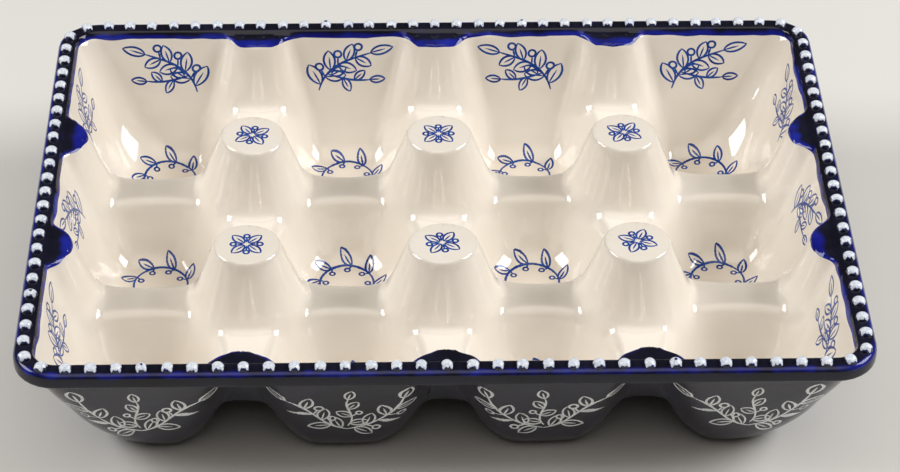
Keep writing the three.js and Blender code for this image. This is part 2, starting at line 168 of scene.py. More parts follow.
def pedestal_and_lobe_distance(x, y):
    u = offset_from_nearest(x, CUP_PITCH_X, COLUMNS - 1)
    v = offset_from_nearest(y, CUP_PITCH_Y, ROWS - 1)
    to_long_side = np.hypot(u, np.abs(y) - TUB_TOP[1] - LOBE_SET_BACK)
    to_short_side = np.hypot(v, np.abs(x) - TUB_TOP[0] - LOBE_SET_BACK)
    return np.hypot(u, v), np.minimum(to_long_side, to_short_side)


def tub_share(x, y, thickness):
    """Share of the way up a loft of two rounded rectangles, the tub's wall grown by `thickness`."""
    grow = TUB_TOP - CUP_END - CUP_FLOOR_RADIUS
    grow_radius = RIM_CORNER_RADIUS - CUP_FLOOR_RADIUS
    floor_radius = CUP_FLOOR_RADIUS + thickness
    from_x = np.abs(x) - CUP_END[0]
    from_y = np.abs(y) - CUP_END[1]
    straight = np.maximum((from_x - floor_radius) / grow[0], (from_y - floor_radius) / grow[1])

    # In a corner the share solves |place - centre(share)| = radius(share).
    centre = grow - grow_radius
    a = centre[0] ** 2 + centre[1] ** 2 - grow_radius**2
    b = -2 * (from_x * centre[0] + from_y * centre[1] + floor_radius * grow_radius)
    c = from_x**2 + from_y**2 - floor_radius**2
    root = b * b - 4 * a * c
    share = (-b - np.sqrt(np.maximum(root, 0))) / (2 * a)
    in_corner = (root >= 0) & (from_x > centre[0] * share) & (from_y > centre[1] * share)
    return np.where(in_corner, share, straight)


# Hand-finished clay isn't quite true: its walls wander a little from the drawn form.
WANDER = 0.28
WANDER_LENGTH = 17.0


def wandered(x, y):
    """Where a place of the surface lies in the drawn form."""
    u, v = x / WANDER_LENGTH, y / WANDER_LENGTH
    along_x = np.sin(0.9 * u + 1.7 * v + 0.4) + 0.6 * np.sin(2.1 * u - 0.8 * v + 2.0)
    along_y = np.sin(1.5 * u - 1.1 * v + 1.1) + 0.6 * np.sin(0.7 * u + 2.3 * v + 0.3)
    return x + WANDER * along_x, y + WANDER * along_y


def shell_height(x, y, depth=0.0):
    """Height of the surface that lies `depth` below the shell's inside, measured square to it."""
    x, y = wandered(x, y)
    pedestal_distance, lobe_distance = pedestal_and_lobe_distance(x, y)
    cup_lowered = depth * math.hypot(1, CUP_SLOPE)
    pedestal_lowered = depth * math.hypot(1, PEDESTAL_SLOPE)
    cup = FLOOR_Z + (cup_distance(x, y) - CUP_FLOOR_RADIUS) * CUP_SLOPE - cup_lowered
    wall = FLOOR_Z + CUP_DEPTH * tub_share(x, y, depth / math.cos(CUP_LEAN))
    pedestal = LAND_Z + (PEDESTAL_TOP_RADIUS - pedestal_distance) * PEDESTAL_SLOPE - pedestal_lowered
    lobe = LAND_Z + (LOBE_TOP_RADIUS - lobe_distance) * PEDESTAL_SLOPE - pedestal_lowered

    foot_blend = blend_range(PEDESTAL_FOOT_FILLET + depth, PEDESTAL_SLOPE)
    wall_blend = blend_range(WALL_FILLET + depth, CUP_SLOPE)
    z = smooth_min(SADDLE_Z - depth, cup, blend_range(SADDLE_FILLET - depth, CUP_SLOPE))
    z = smooth_max(z, wall, wall_blend)
    z = smooth_max(z, pedestal, foot_blend)
    z = smooth_max(z, lobe, foot_blend)
    z = smooth_min(z, LAND_Z - depth, blend_range(TOP_FILLET - depth, CUP_SLOPE))
    return smooth_max(z, FLOOR_Z - depth, blend_range(FLOOR_FILLET + depth, CUP_SLOPE))


def shell_normal(x, y, depth=0.0, step=0.05):
    """Upward unit normals of the surface at some places."""
    rise_x = (shell_height(x + step, y, depth) - shell_height(x - step, y, depth)) / (2 * step)
    rise_y = (shell_height(x, y + step, depth) - shell_height(x, y - step, depth)) / (2 * step)
    normal = np.stack([-rise_x, -rise_y, np.ones_like(rise_x)], axis=-1)
    return unit(normal)


LEVEL_HALVINGS = 34


def reach_at_level(start, heading, far, level, depth=0.0):
    """Distance along a heading at which the climbing surface comes to a level, at most `far`."""
    low = np.zeros(np.broadcast(start[..., 0], level).shape)
    high = low + far
    for _ in range(LEVEL_HALVINGS):
        middle = (low + high) / 2
        x = start[..., 0] + heading[..., 0] * middle
        y = start[..., 1] + heading[..., 1] * middle
        below = shell_height(x, y, depth) < level
        low = np.where(below, middle, low)
        high = np.where(below, high, middle)
    return high


# Points along straight runs of the surface

SPOKE_SAMPLES = 400
TURN_WEIGHT = 14.0


def along_spokes(centre, ends, shares, depth):
    """Points of the surface at some shares of each spoke: spokes by rows by three."""
    flat = centre + (ends - centre)[:, None, :] * shares[..., None]
    z = shell_height(flat[..., 0], flat[..., 1], depth)
    return np.concatenate([flat, z[..., None]], axis=-1)


def even_shares(centre, ends, near, far, rows, depth):
    """Shares of each spoke that part it from `near` to `far` evenly by length and turning."""
    shares = near[:, None] + (far - near)[:, None] * np.linspace(0, 1, SPOKE_SAMPLES)
    points = along_spokes(centre, ends, shares, depth)
    steps = np.diff(points, axis=1)
    level = np.linalg.norm(steps[..., :2], axis=2)
    lean = np.arctan2(steps[..., 2], np.maximum(level, TINY))
    turning = np.pad(np.abs(np.diff(lean, axis=1)), ((0, 0), (1, 1)))
    weight = np.linalg.norm(steps, axis=2) + TURN_WEIGHT * (turning[:, 1:] + turning[:, :-1]) / 2
    run = np.concatenate([np.zeros((len(ends), 1)), np.cumsum(weight, axis=1)], axis=1)
    wanted = np.linspace(0, 1, rows + 1)
    return np.array([np.interp(wanted * r[-1], r, s) for r, s in zip(run, shares)])


# Plan outline of each cup's cell

# Front, right, back and left: the way along each side and the way out
SIDES = np.array([[(1, 0), (0, -1)], [(0, 1), (1, 0)], [(-1, 0), (0, 1)], [(0, -1), (-1, 0)]], float)
CORNER_KINDS = ("pedestal", "lobe", "tray corner")
PEDESTAL_SPREAD = SADDLE_DEPTH / PEDESTAL_SLOPE
WELD = 1e-3
WELD_SHIFT = 0.137
TOP_STEPS = 6
SLOPE_STEPS = 8
SADDLE_STEPS = 5
CORNER_STEPS = 8
INNER_STEPS = 40
GLAZE_DROP = 0.85
GLAZE_WAVE = 0.3
GLAZE_REACH_ROUNDS = 4
CORNER_EASE = 3


def glaze_edge_level(spot):
    """Height at which the brushed rim glaze ends, which waves a little along the rim."""
    x, y = spot[..., 0], spot[..., 1]
    wave = np.sin(0.21 * x + 0.9) + np.sin(0.17 * y + 2.1) + 0.7 * np.sin(0.47 * (x + y))
    return LAND_Z - GLAZE_DROP - GLAZE_WAVE * wave


def lobe_glaze_reach(corner, along, length):
    """How far rim glaze comes over a lobe, along the wall between two cups."""
    middle = corner + along * length / 2
    reach = LOBE_REACH
    for _ in range(GLAZE_REACH_ROUNDS):
        level = glaze_edge_level(corner + along * reach)
        reach = length / 2 - float(reach_at_level(middle, -along, length / 2, level))
    return reach


def stops_at(kind, length):
    """Where a rim side starts, and the next two stops on its way to the middle."""
    if kind == "tray corner":
        start = RIM_CORNER_RADIUS
        return [start, start + CORNER_EASE, (start + length / 2) / 2]
    radii = (LOBE_TOP_RADIUS, LOBE_TOP_RADIUS + PEDESTAL_SPREAD)
    return [0, *(math.sqrt(radius**2 - LOBE_SET_BACK**2) for radius in radii)]


def rim_places(kinds, length):
    """Distances along a side at the rim."""
    start = stops_at(kinds[0], length)
    end = [length - stop for stop in reversed(stops_at(kinds[1], length))]
    stops = [*start, length / 2, *end]
    counts = [TOP_STEPS, SLOPE_STEPS, SADDLE_STEPS, SADDLE_STEPS, SLOPE_STEPS, TOP_STEPS]
    places = []
    for first, last, count in zip(stops, stops[1:], counts):
        places.extend(np.linspace(first, last, count, endpoint=False))
    if kinds[1] == "tray corner":
        places.append(end[-1])
    return places


def inner_places(corner, along, length, glaze_reaches):
    """Distances along a side between two cups, with a stop where rim glaze ends."""
    near, far = glaze_reaches[0], length - glaze_reaches[1]
    places = list(np.linspace(0, near, TOP_STEPS, endpoint=False)) if near > 0 else []
    ends = (corner + along * far)[None, :]
    shares = even_shares(corner + along * near, ends, np.zeros(1), np.ones(1), INNER_STEPS, 0.0)[0]
    places.extend(near + shares[:-1] * (far - near))
    if glaze_reaches[1] > 0:
        places.extend(np.linspace(far, length, TOP_STEPS, endpoint=False))
    return places


def cell_outline(column, row):
    """A cell's centre, the points round it, the rim's way out at each and whether glaze is there."""
    centre = cup_centre(column, row)
    outer = (row == 0, column == COLUMNS - 1, row == ROWS - 1, column == 0)
    spots, outwards, glazed = [], [], []
    for i, (along, out) in enumerate(SIDES):
        length = abs(along) @ PITCH
        reach = abs(out) @ PITCH / 2
        before, after = i - 1, (i + 1) % len(SIDES)
        kinds = [CORNER_KINDS[outer[i] + outer[near]] for near in (before, after)]
        corners = [centre + out * reach + way * along * length / 2 for way in (-1, 1)]
        glaze_reaches = [
            lobe_glaze_reach(corner, way * along, length) if kind == "lobe" and not outer[i] else 0
            for corner, kind, way in zip(corners, kinds, (1, -1))
        ]
        if outer[i]:
            distances = rim_places(kinds, length)
        else:
            distances = inner_places(corners[0], along, length, glaze_reaches)
        for distance in distances:
            from_lobe = [
                kind == "lobe" and gap <= glaze_reach + WELD
                for kind, gap, glaze_reach in zip(kinds, (distance, length - distance), glaze_reaches)
            ]
            at_rim = distance == 0 and outer[before]
            rim_out = out if outer[i] else SIDES[before, 1] if at_rim else np.zeros(2)
            spots.append(centre + out * reach + along * (distance - length / 2))
            outwards.append(rim_out)
            glazed.append(outer[i] or any(from_lobe))
        if kinds[1] == "tray corner":
            turn = SIDES[after, 1]
            hub = spots[-1] - out * RIM_CORNER_RADIUS
            for step in range(1, CORNER_STEPS):
                angle = step / CORNER_STEPS * math.pi / 2
                rim_out = out * math.cos(angle) + turn * math.sin(angle)
                spots.append(hub + rim_out * RIM_CORNER_RADIUS)
                outwards.append(rim_out)
                glazed.append(True)
    return centre, np.array(spots), np.array(outwards), np.array(glazed)


# Rows of points along each spoke of a cell

INSIDE_ROWS = 40
GLAZE_ROW = INSIDE_ROWS - 1
OUTSIDE_ROWS = 20
RIM_ROWS = 5
FOOT_SECTION = ((0.95, 0.0), (1.0, 0.1), (1.0 + FOOT_DRAFT / FOOT_RADIUS, FOOT_HEIGHT))


def rounded_path(points, radii, steps):
    """An open outline with each inner corner turned into an arc."""
    points = np.array(points, float)
    path = [points[0]]
    for before, corner, after, radius in zip(points, points[1:], points[2:], radii):
        back = unit(before - corner)
        ahead = unit(after - corner)
        half = math.acos(back @ ahead) / 2
        hub = corner + unit(back + ahead) * radius / math.sin(half)
        turn = math.pi - 2 * half
        first = corner + back * radius / math.tan(half) - hub
        side = math.copysign(1, first[0] * ahead[1] - first[1] * ahead[0])
        for step in range(steps + 1):
            path.append(hub + rotation(side * turn * step / steps) @ first)
    return np.array([*path, points[-1]])


LIP_ARC_STEPS = 5
SEAT_FOOT_DROP = 0.4
SEAT_SHOULDER = 1.2
LIP_UNDERCUT = 0.1
LIP_CORNERS = (
    (0, LAND_Z - SEAT_FOOT_DROP),
    (BEAD_LINE - BEAD_SEAT / 2, SEAT_Z),
    (RIM_WIDTH, SEAT_Z),
    (RIM_WIDTH, LIP_Z),
    (LIP_ROOT, LIP_Z - LIP_UNDERCUT),
)
LIP_RADII = (SEAT_SHOULDER, RIM_SHOULDER, LIP_EDGE)
LIP_SECTION = rounded_path(LIP_CORNERS, LIP_RADII, LIP_ARC_STEPS)[1:-1]

# How thin, and so how blue, glaze lies along the lip: seat's edge, shoulder and lower edge
EDGE_THIN = 0.2
SHOULDER_THIN = 0.66
SHOULDER_SPAN = np.linspace(0.1, 0.95, LIP_ARC_STEPS + 1)
LIP_THIN = np.concatenate([
    np.linspace(EDGE_THIN, 0.0, LIP_ARC_STEPS + 1),
    SHOULDER_THIN * np.sin(SHOULDER_SPAN * math.pi),
    np.linspace(0.0, EDGE_THIN, LIP_ARC_STEPS + 1),
])


def inside_rows(centre, spots, glazed):
    """The cell's inside from floor to rim, and each point's way past the row where glaze begins."""
    levels = np.where(glazed, glaze_edge_level(spots), LAND_Z + 1)
    edge = reach_at_level(np.broadcast_to(centre, spots.shape), spots - centre, 1.0, levels)
    cup = even_shares(centre, spots, np.zeros(len(spots)), edge, INSIDE_ROWS, 0.0)[:, 1:]
    rim = edge[:, None] + (1 - edge[:, None]) * np.linspace(0, 1, RIM_ROWS + 1)
    points = along_spokes(centre, spots, np.concatenate([cup, rim[:, 1:]], axis=1), 0.0)
    return points, np.linalg.norm(points - points[:, GLAZE_ROW, None], axis=2)


def outside_rows(centre, spots, outwards):
    """The cell's outside from its foot to the arches, or to where the lip leaves the wall."""
    ends = spots + outwards * LIP_ROOT
    heading = unit(ends - centre)
    foot = []
    for share, z in FOOT_SECTION:
        ring = centre + heading * FOOT_RADIUS * share
        foot.append(np.column_stack([ring, np.full(len(ring), z)]))
    near = FOOT_RADIUS * FOOT_SECTION[-1][0] / np.linalg.norm(ends - centre, axis=1)
    shares = even_shares(centre, ends, near, np.ones(len(ends)), OUTSIDE_ROWS, WALL)
    wall = along_spokes(centre, ends, shares[:, 1:], WALL)
    return np.concatenate([np.stack(foot, axis=1), wall], axis=1)


def lip_rows(spots, outwards, outside_end):
    """Sections of the lip from the rim's inner edge over the bead seat and down to the wall."""
    rows = [np.column_stack([spots, shell_height(*spots.T)])]
    for out, z in LIP_SECTION:
        rows.append(np.column_stack([spots + outwards * out, np.full(len(spots), z)]))
    rows.append(outside_end)
    return np.stack(rows, axis=1)


# The skin of the clay body: points, and triangles that each belong to a region

INSIDE, RIM, OUTSIDE, FOOT = range(4)


class Skin:
    def __init__(self):
        self.points, self.coats, self.thins = [], [], []
        self.triangles, self.regions = [], []
        self.count = 0

    def add_points(self, points, coat, thin):
        """Adds a block of points and returns their numbers, in the block's own shape."""
        numbers = self.count + np.arange(points[..., 0].size).reshape(points.shape[:-1])
        self.points.append(points.reshape(-1, 3))
        self.coats.append(np.broadcast_to(coat, numbers.shape).ravel())
        self.thins.append(np.broadcast_to(thin, numbers.shape).ravel())
        self.count += numbers.size
        return numbers

    def add_triangles(self, a, b, c, region):
        self.triangles.append(np.column_stack([a.ravel(), b.ravel(), c.ravel()]))
        self.regions.append(np.full(a.size, region))

    def weld(self):
        points = np.concatenate(self.points)
        keys = np.round(points / WELD + WELD_SHIFT).astype(np.int64)
        _, first, place = np.unique(keys, axis=0, return_index=True, return_inverse=True)
        place = place.ravel()
        coats = np.full(len(first), np.inf)
        np.minimum.at(coats, place, np.concatenate(self.coats))
        thins = np.zeros(len(first))
        np.maximum.at(thins, place, np.concatenate(self.thins))
        triangles = place[np.concatenate(self.triangles)]
        a, b, c = triangles.T
        whole = (a != b) & (b != c) & (c != a)
        self.points, self.coats, self.thins = points[first], coats, thins
        self.triangles, self.regions = triangles[whole], np.concatenate(self.regions)[whole]

    def normals(self):
        corners = self.points[self.triangles]
        area = np.cross(corners[:, 1] - corners[:, 0], corners[:, 2] - corners[:, 0])
        sums = np.zeros_like(self.points)
        for corner in range(3):
            np.add.at(sums, self.triangles[:, corner], area)
        return unit(sums)


def smooth_step(low, high, value):
    t = np.clip((value - low) / (high - low), 0, 1)
    return t * t * (3 - 2 * t)


def add_grid(skin, numbers, first, last, region, spokes=None, inward=False):
    """Quads between neighbouring spokes of a closed ring, from row `first` to row `last`."""
    following = np.roll(numbers, -1, axis=0)
    if spokes is not None:
        numbers, following = numbers[spokes], following[spokes]
    here, there = (following, numbers) if inward else (numbers, following)
    near, far = slice(first, last), slice(first + 1, last + 1)
    skin.add_triangles(here[:, near], here[:, far], there[:, far], region)
    skin.add_triangles(here[:, near], there[:, far], there[:, near], region)


def add_fan(skin, middle, numbers, region, inward=False):
    """Triangles from a cell's middle to its first ring."""
    hub = skin.add_points(np.array([middle], float), 0.0, 0.0)
    ring = numbers[:, 0]
    following = np.roll(ring, -1)
    here, there = (following, ring) if inward else (ring, following)
    skin.add_triangles(np.broadcast_to(hub, ring.shape), here, there, region)


# How thin the glaze lies: by the way in from its edge, and on the lobes by the way in from the wall
THIN_RANGE = (0.3, 2.6)
LOBE_THIN = 0.8
FRONT_LOBE_THIN = 0.1
LOBE_FADE = (0.8, 5.5)
FRONT_FADE = (14.0, 8.0)


def lobe_thinness(points):
    """How thin the glaze lies on the lobes: thinner toward their tips, hardly so along the front."""
    inward = np.min(TUB_TOP - np.abs(points[..., :2]), axis=-1)
    at_front = smooth_step(*FRONT_FADE, points[..., 1] + TUB_TOP[1])
    most = LOBE_THIN + (FRONT_LOBE_THIN - LOBE_THIN) * at_front
    return most * smooth_step(*LOBE_FADE, inward)


def add_cell(skin, column, row):
    centre, spots, outwards, glazed = cell_outline(column, row)
    inside, past = inside_rows(centre, spots, glazed)
    coat = np.clip(past / GLAZE_TAPER, GLAZE_EDGE, 1)
    thin = np.maximum(1 - smooth_step(*THIN_RANGE, past), lobe_thinness(inside))
    numbers = skin.add_points(inside, coat, thin)
    add_fan(skin, (*centre, shell_height(*centre)), numbers, INSIDE)
    add_grid(skin, numbers, 0, GLAZE_ROW, INSIDE)
    add_grid(skin, numbers, GLAZE_ROW, GLAZE_ROW + RIM_ROWS, RIM)

    outside = outside_rows(centre, spots, outwards)
    outside_coat = np.ones(outside.shape[1])
    outside_coat[: len(FOOT_SECTION)] = GLAZE_EDGE
    numbers = skin.add_points(outside, outside_coat, 1 - outside_coat)
    add_fan(skin, (*centre, 0.0), numbers, FOOT, inward=True)
    foot_top = len(FOOT_SECTION) - 1
    add_grid(skin, numbers, 0, foot_top, FOOT, inward=True)
    add_grid(skin, numbers, foot_top, outside.shape[1] - 1, OUTSIDE, inward=True)

    on_rim = np.abs(outwards).sum(axis=1) > 0
    if on_rim.any():
        lip = lip_rows(spots, outwards, outside[:, -1])
        lip_coat = np.ones(lip.shape[:2])
        lip_coat[:, 0] = coat[:, -1]
        lip_thin = np.zeros(lip.shape[:2])
        lip_thin[:, 0] = thin[:, -1]
        lip_thin[:, 1:-1] = LIP_THIN
        numbers = skin.add_points(lip, lip_coat, lip_thin)
        pairs = on_rim & np.roll(on_rim, -1)
        add_grid(skin, numbers, 0, lip.shape[1] - 1, RIM, spokes=pairs)


def build_skin():
    skin = Skin()
    for row in range(ROWS):
        for column in range(COLUMNS):
            add_cell(skin, column, row)
    skin.weld()
    return skin


# Meshes

SHARP_ANGLE = math.radians(55)


def add_object(name, data):
    item = bpy.data.objects.new(name, data)
    bpy.context.scene.collection.objects.link(item)
    return item


def make_piece(name, points, faces, materials, attributes=None, slots=None, normals=None):
    """A smooth mesh object from points in millimetres, with named values on its points."""
    mesh = bpy.data.meshes.new(name)
    faces = faces.tolist() if isinstance(faces, np.ndarray) else faces
    mesh.from_pydata((points * MM).tolist(), [], faces)
    for material in materials:
        mesh.materials.append(material)
    if slots is not None:
        mesh.polygons.foreach_set("material_index", np.asarray(slots, np.int32))
    for key, values in (attributes or {}).items():
        attribute = mesh.attributes.new(key, "FLOAT", "POINT")
        attribute.data.foreach_set("value", np.asarray(values, np.float32))
    mesh.shade_smooth()
    mesh.set_sharp_from_angle(angle=SHARP_ANGLE)
    if normals is not None:
        mesh.normals_split_custom_set_from_vertices(np.asarray(normals).tolist())
    mesh.validate()
    return add_object(name, mesh)


def coat_mesh(skin, normals, region):
    """A coat over one region of the skin as a closed solid: points, triangles and how thin it lies."""
    faces = skin.triangles[skin.regions == region]
    used, place = np.unique(faces, return_inverse=True)
    faces = place.reshape(faces.shape)
    under = skin.points[used]
    over = under + normals[used] * (GLAZE * skin.coats[used])[:, None]
    count = len(used)
    edges = np.concatenate([faces[:, [0, 1]], faces[:, [1, 2]], faces[:, [2, 0]]])
    forward = edges[:, 0] * count + edges[:, 1]
    backward = edges[:, 1] * count + edges[:, 0]
    start, end = edges[~np.isin(forward, backward)].T
    low = np.column_stack([start, end, end + count])
    high = np.column_stack([start, end + count, start + count])
    triangles = np.concatenate([faces + count, faces[:, ::-1], low, high])
    return np.concatenate([under, over]), triangles, np.tile(skin.thins[used], 2)


# Materials

# Ranges that hold most of what a noise gives, how soft specks are, and refraction without glaze
NOISE_BAND = (0.3, 0.7)
WIDE_BAND = (0.25, 0.75)
SPECK_SOFTNESS = 0.6
PLAIN_IOR = 1.5

# Colour sockets of a mix node, which share their names with sockets of other types
FIRST_COLOUR = 6
SECOND_COLOUR = 7
MIXED_COLOUR = 2


def feed(node, inputs):
    """Gives inputs of a node numbers, colours or the outputs of other nodes."""
    for key, value in inputs.items():
        if isinstance(value, bpy.types.NodeSocket):
            node.id_data.links.new(value, node.inputs[key])
        else:
            node.inputs[key].default_value = value


def add_node(tree, kind, output, inputs=None, **settings):
    """Adds a node and returns its output."""
    node = tree.nodes.new("ShaderNode" + kind)
    for key, value in settings.items():
        setattr(node, key, value)
    feed(node, inputs or {})
    return node.outputs[output]


def add_ramp(tree, value, low, high, to_low=0.0, to_high=1.0):
    inputs = {"Value": value, "From Min": low, "From Max": high, "To Min": to_low, "To Max": to_high}
    way = "SMOOTHSTEP" if low < high else "LINEAR"
    return add_node(tree, "MapRange", "Result", inputs, interpolation_type=way)


class Finish:
    """A procedural material with short calls for the nodes that it uses."""

    def __init__(self, name):
        self.material = bpy.data.materials.new(name)
        self.material.use_nodes = True
        self.tree = self.material.node_tree
        self.shader = self.tree.nodes["Principled BSDF"]
        self.place = add_node(self.tree, "TexCoord", "Object")

    def surface(self, colour, roughness, ior=PLAIN_IOR):
        feed(self.shader, {"Base Color": colour, "Roughness": roughness, "IOR": ior})

    def noise(self, scale, detail=2.0):
        inputs = {"Vector": self.place, "Scale": scale, "Detail": detail}
        return add_node(self.tree, "TexNoise", "Fac", inputs)

    def cloud(self, scale, detail=2.0, to_low=0.0, to_high=1.0):
        """Noise that is spread over a range."""
        return self.ramp(self.noise(scale, detail), *NOISE_BAND, to_low, to_high)

    def specks(self, scale, size):
        """One in the middle of each of some scattered cells, zero elsewhere."""
        inputs = {"Vector": self.place, "Scale": scale}
        distance = add_node(self.tree, "TexVoronoi", "Distance", inputs)
        return self.ramp(distance, size, size * SPECK_SOFTNESS)

    def ramp(self, *values):
        return add_ramp(self.tree, *values)

    def math(self, operation, a, b):
        return add_node(self.tree, "Math", "Value", {0: a, 1: b}, operation=operation)

    def value(self, name):
        return add_node(self.tree, "Attribute", "Fac", attribute_name=name)

    def part(self, axis):
        return add_node(self.tree, "SeparateXYZ", axis, {"Vector": self.place})

    def mix(self, share, a, b):
        a, b = ((*colour, 1) if isinstance(colour, tuple) else colour for colour in (a, b))
        inputs = {"Factor": share, FIRST_COLOUR: a, SECOND_COLOUR: b}
        return add_node(self.tree, "Mix", MIXED_COLOUR, inputs, data_type="RGBA")

    def bump(self, height, distance):
        inputs = {"Height": height, "Distance": distance}
        feed(self.shader, {"Normal": add_node(self.tree, "Bump", "Normal", inputs)})


# Colours, each a pair that a finish is mixed from unless it stands alone
CREAM = ((0.81, 0.74, 0.645), (0.84, 0.78, 0.695))
POOLED_CREAM = (0.76, 0.68, 0.57)
CLAY = ((0.58, 0.49, 0.39), (0.70, 0.62, 0.52))
CLAY_SPECK = (0.34, 0.25, 0.17)
THICK_COBALT = ((0.006, 0.006, 0.012), (0.010, 0.010, 0.024))
THIN_COBALT = ((0.008, 0.010, 0.20), (0.016, 0.026, 0.32))
NAVY = ((0.012, 0.012, 0.022), (0.02, 0.02, 0.036))
THIN_NAVY = (0.05, 0.045, 0.06)
# White of the beads' paint, which also colours the painted highlights that run down them.
ENAMEL_AND_HIGHLIGHT = ((0.80, 0.83, 0.87), (0.52, 0.60, 0.76))
BEAD_GROUND = ((0.008, 0.009, 0.03), (0.02, 0.035, 0.20))
BLUE_INK = ((0.010, 0.038, 0.22), (0.022, 0.08, 0.33))
WHITE_INK = ((0.90, 0.92, 0.91), (0.72, 0.75, 0.76))

# Gloss: the range of each finish's roughness, and the glazes' refraction
CREAM_ROUGHNESS = (0.04, 0.09)
CLAY_ROUGHNESS = (0.75, 0.9)
RIM_ROUGHNESS = (0.04, 0.1)
EXTERIOR_ROUGHNESS = (0.12, 0.2)
ENAMEL_ROUGHNESS = (0.05, 0.16)
BLUE_INK_ROUGHNESS = (0.05, 0.11)
WHITE_INK_ROUGHNESS = (0.15, 0.25)
CREAM_IOR = 1.7
RIM_IOR = 1.4
GLAZE_IOR = 1.54
INK_IOR = 1.52

# Where clear glaze has pooled, in metres above the ground, and how much it tints
POOL_RANGE = (13.5 * MM, 6.0 * MM)
POOL_TINT = 0.45

# Uneven edges: how far brush marks move the rim's blue, and a bead's white with its halo
BRUSHED = 0.26
BLUE_BAND = (0.25, 0.95)
RAGGED = 0.16
PAINT_AND_HIGHLIGHT_BAND = (-0.05, 0.07)
HALO_BAND = (-0.25, 0.05)
STREAK_BAND = (0.35, 0.75)


def cream_glaze():
    finish = Finish("cream_glaze")
    colour = finish.mix(finish.cloud(scale=38, detail=3), *CREAM)
    pooled = finish.ramp(finish.part("Z"), *POOL_RANGE)
    colour = finish.mix(finish.math("MULTIPLY", pooled, POOL_TINT), colour, POOLED_CREAM)
    finish.surface(colour, finish.cloud(24, 2, *CREAM_ROUGHNESS), CREAM_IOR)
    finish.bump(finish.noise(scale=75, detail=1.5), 0.2 * MM)
    return finish.material


def bare_clay():
    finish = Finish("bare_clay")
    grain = finish.cloud(scale=900, detail=4)
    colour = finish.mix(grain, *CLAY)
    colour = finish.mix(finish.specks(scale=420, size=0.22), colour, CLAY_SPECK)
    finish.surface(colour, finish.ramp(grain, 0, 1, *CLAY_ROUGHNESS))
    finish.bump(grain, 0.08 * MM)
    return finish.material


def rim_glaze():
    finish = Finish("rim_glaze")
    brushed = finish.ramp(finish.noise(scale=150, detail=3), *WIDE_BAND, -BRUSHED, BRUSHED)
    thin = finish.ramp(finish.math("ADD", finish.value("thin"), brushed), *BLUE_BAND)
    cloud = finish.cloud(scale=70)
    colour = finish.mix(thin, finish.mix(cloud, *THICK_COBALT), finish.mix(cloud, *THIN_COBALT))
    finish.surface(colour, finish.cloud(90, 2, *RIM_ROUGHNESS), RIM_IOR)
    finish.bump(finish.noise(scale=190), 0.16 * MM)
    return finish.material


def exterior_glaze():
    finish = Finish("exterior_glaze")
    colour = finish.mix(finish.cloud(scale=60, detail=3), *NAVY)
    colour = finish.mix(finish.value("thin"), colour, THIN_NAVY)
    finish.surface(colour, finish.cloud(45, 2, *EXTERIOR_ROUGHNESS), GLAZE_IOR)
    finish.bump(finish.noise(scale=110), 0.18 * MM)
    return finish.material


def bead_enamel():
    finish = Finish("bead_enamel")
    ragged = finish.ramp(finish.noise(scale=850, detail=3), *WIDE_BAND, -RAGGED, RAGGED)
    # The white covers the painted cap and the painted highlights that run down from it.
    paint_and_highlight_share = finish.ramp(finish.math("ADD", finish.value("paint_and_highlight"), ragged), *PAINT_AND_HIGHLIGHT_BAND)
    streaks = finish.ramp(finish.noise(scale=1300), *STREAK_BAND)
    white = finish.mix(streaks, *ENAMEL_AND_HIGHLIGHT)
    under = finish.mix(finish.ramp(finish.value("paint_and_highlight"), *HALO_BAND), *BEAD_GROUND)
    roughness = finish.ramp(paint_and_highlight_share, 0, 1, *ENAMEL_ROUGHNESS)
    finish.surface(finish.mix(paint_and_highlight_share, under, white), roughness, GLAZE_IOR)
    finish.bump(streaks, 0.06 * MM)
    return finish.material


def print_ink(name, colours, roughness, grain, unevenness, gloss_scale):
    """Ink that lies denser in some strokes and places than in others."""
    finish = Finish(name)
    uneven = finish.cloud(grain, 2, -unevenness, unevenness)
    density = finish.ramp(finish.math("ADD", finish.value("ink"), uneven), 0.0, 1.0)
    gloss = finish.cloud(gloss_scale, 2, *roughness)
    finish.surface(finish.mix(density, *colours), gloss, INK_IOR)
    return finish.material


# The tray's body and its two glaze coats


def place_piece(piece, slot, *nodes):
    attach(piece, "root")
    if nodes:
        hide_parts(*nodes)


def build_tray():
    skin = build_skin()
    normals = skin.normals()
    inside = skin.triangles[skin.regions == INSIDE]
    drawn = np.zeros_like(skin.points)
    drawn[inside] = shell_normal(skin.points[inside, 0], skin.points[inside, 1])
    bare = np.where(skin.regions == INSIDE, 0, 1)
    finishes = [cream_glaze(), bare_clay()]
    body = make_piece("tray_body", skin.points, skin.triangles, finishes, slots=bare, normals=drawn)
    place_piece(body, "stoneware", "stoneware_body")

    coats = ((RIM, "rim_glaze", rim_glaze()), (OUTSIDE, "exterior_glaze", exterior_glaze()))
    for region, name, material in coats:
        points, triangles, thin = coat_mesh(skin, normals, region)
        coat = make_piece(f"tray_{name}", points, triangles, [material], {"thin": thin})
        place_piece(coat, name, name)


# Beads along the rim

BEAD_PATH = TUB_TOP + BEAD_LINE
BEAD_PATH_RADIUS = RIM_CORNER_RADIUS + BEAD_LINE
HALF_CORNER = BEAD_PATH_RADIUS * math.pi / 4
BEAD_SIDES = 16
BEAD_RINGS = 6
BEAD_SQUATNESS = 0.9

# How unlike the beads are: shares of their size, an angle and a way along the rim
BEAD_SPREAD = (0.93, 1.04)
BEAD_HEIGHT_SPREAD = (0.9, 1.0)
BEAD_TWIST = 0.15
BEAD_STRAY = 0.2

# White paint on a bead: its edge and lean, how far and often painted highlights run down, and some pits
BEAD_PAINT_EDGE = 0.52
BEAD_LEAN = 0.12
BEAD_HIGHLIGHT_REACH = 0.64
BEAD_HIGHLIGHT_COUNT = 4
BEAD_PIT_SHARE = 0.05
PIT_PAINT = -0.3
PIT_EDGE_PAINT = 0.05


